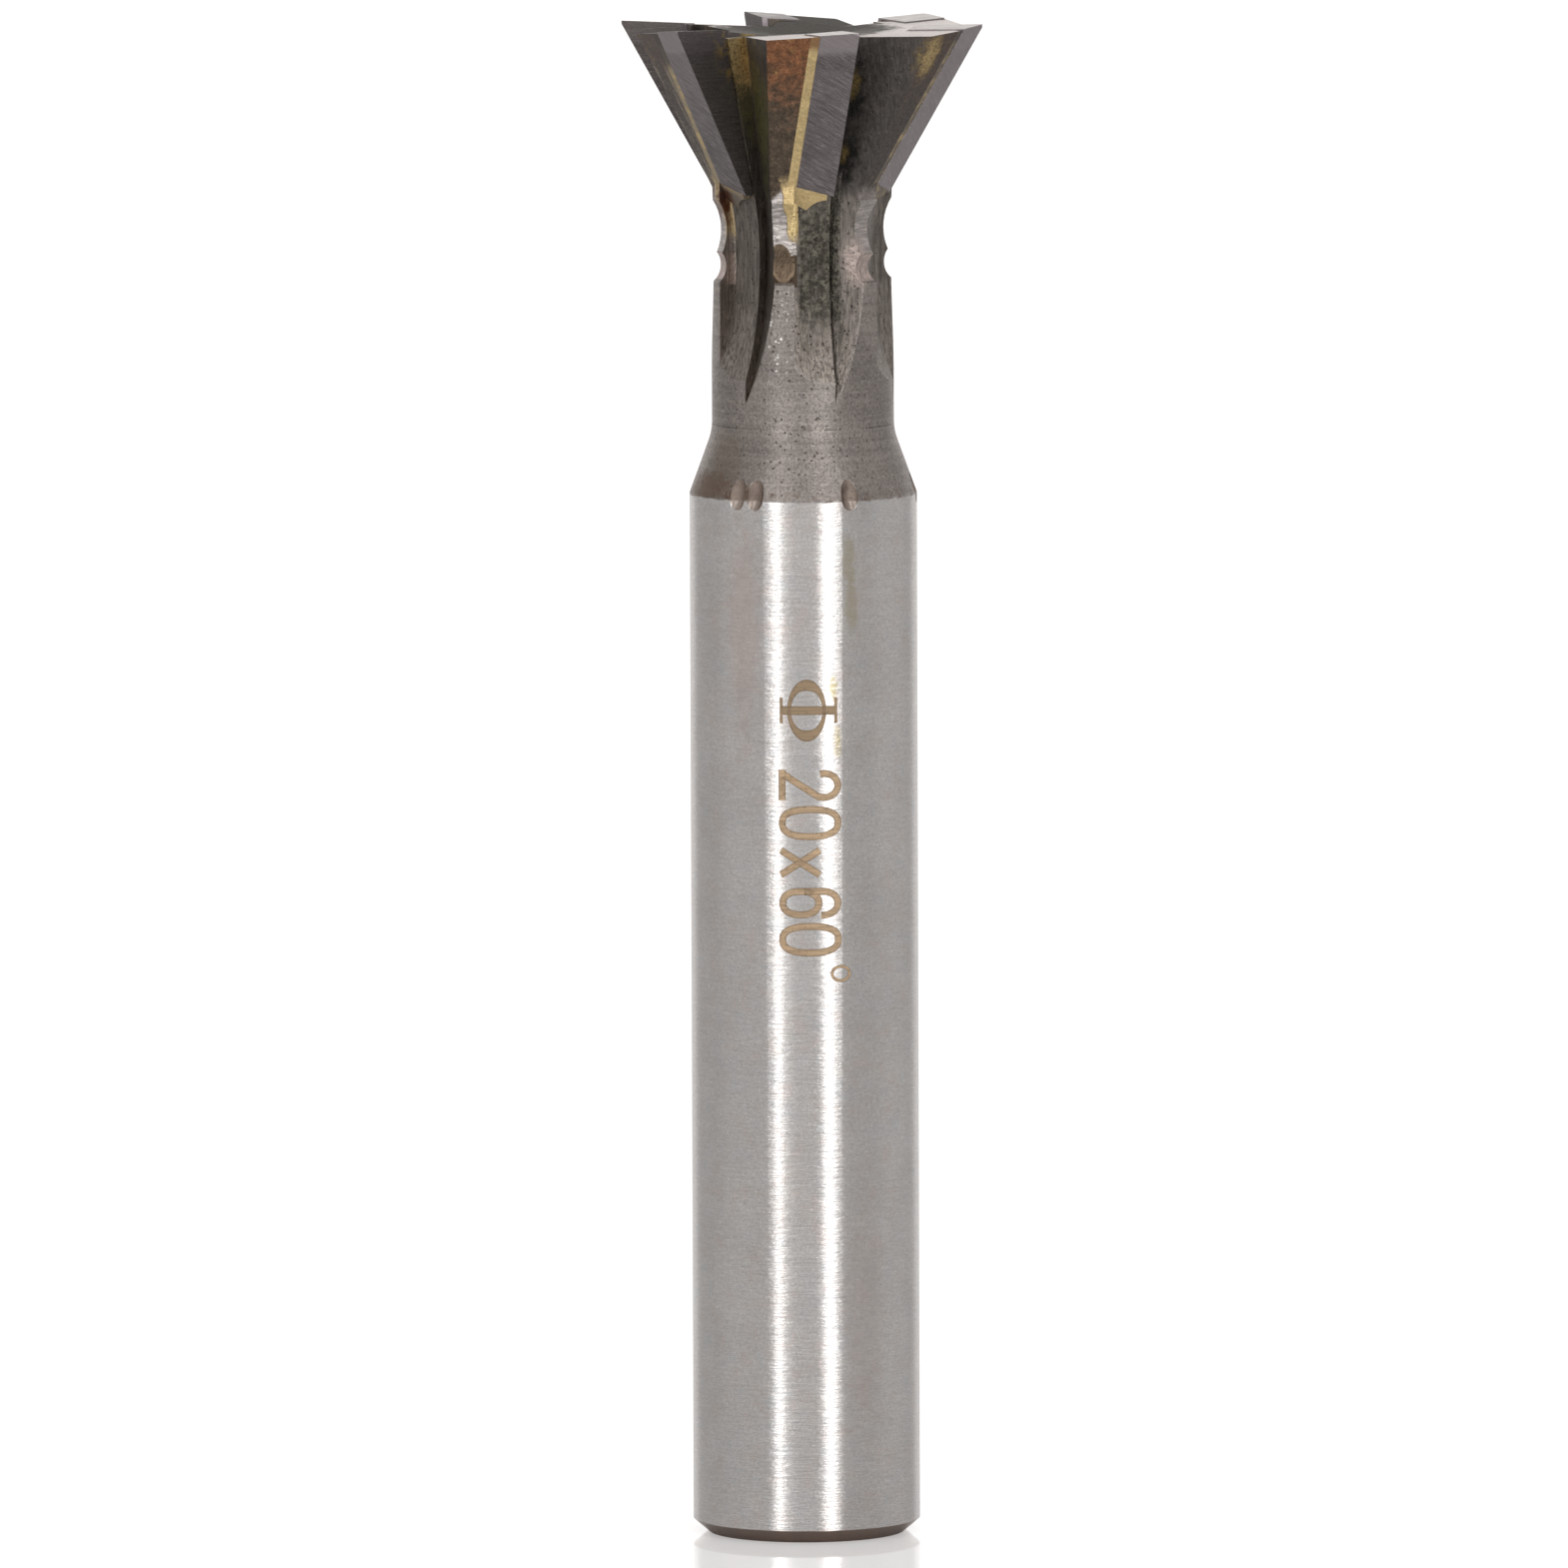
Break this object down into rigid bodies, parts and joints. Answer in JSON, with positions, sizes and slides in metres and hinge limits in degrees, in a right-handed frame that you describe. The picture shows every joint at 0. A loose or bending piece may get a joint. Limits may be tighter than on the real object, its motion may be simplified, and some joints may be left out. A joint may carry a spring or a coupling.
{
  "type": "dovetail cutter",
  "caption": "Carbide-tipped dovetail milling cutter: a plain round shank, a slimmer neck and a flaring toothed head with brazed tips that undercut an angled slot wall.",
  "frame": {"origin": "centre of the flat end of the shank, which the cutter stands on", "axes": "+Z along the axis from the shank end to the cutting end; -Y faces the viewer of the picture; seen from the cutting end the teeth cut anticlockwise"},
  "size_m": [0.019, 0.0186, 0.08],
  "materials": {
    "tool_steel": "ground shank, turned neck, heat-stained head",
    "carbide": "tungsten carbide, fine ground",
    "braze": "as-flowed silver-brass filler"
  },
  "bodies": {
    "root": {"cutter_body": "tool_steel", "carbide_tip_1": "carbide", "carbide_tip_2": "carbide", "carbide_tip_3": "carbide", "carbide_tip_4": "carbide", "carbide_tip_5": "carbide", "carbide_tip_6": "carbide", "braze_seam_1": "braze", "braze_seam_2": "braze", "braze_seam_3": "braze", "braze_seam_4": "braze", "braze_seam_5": "braze", "braze_seam_6": "braze"}
  },
  "joints": []
}
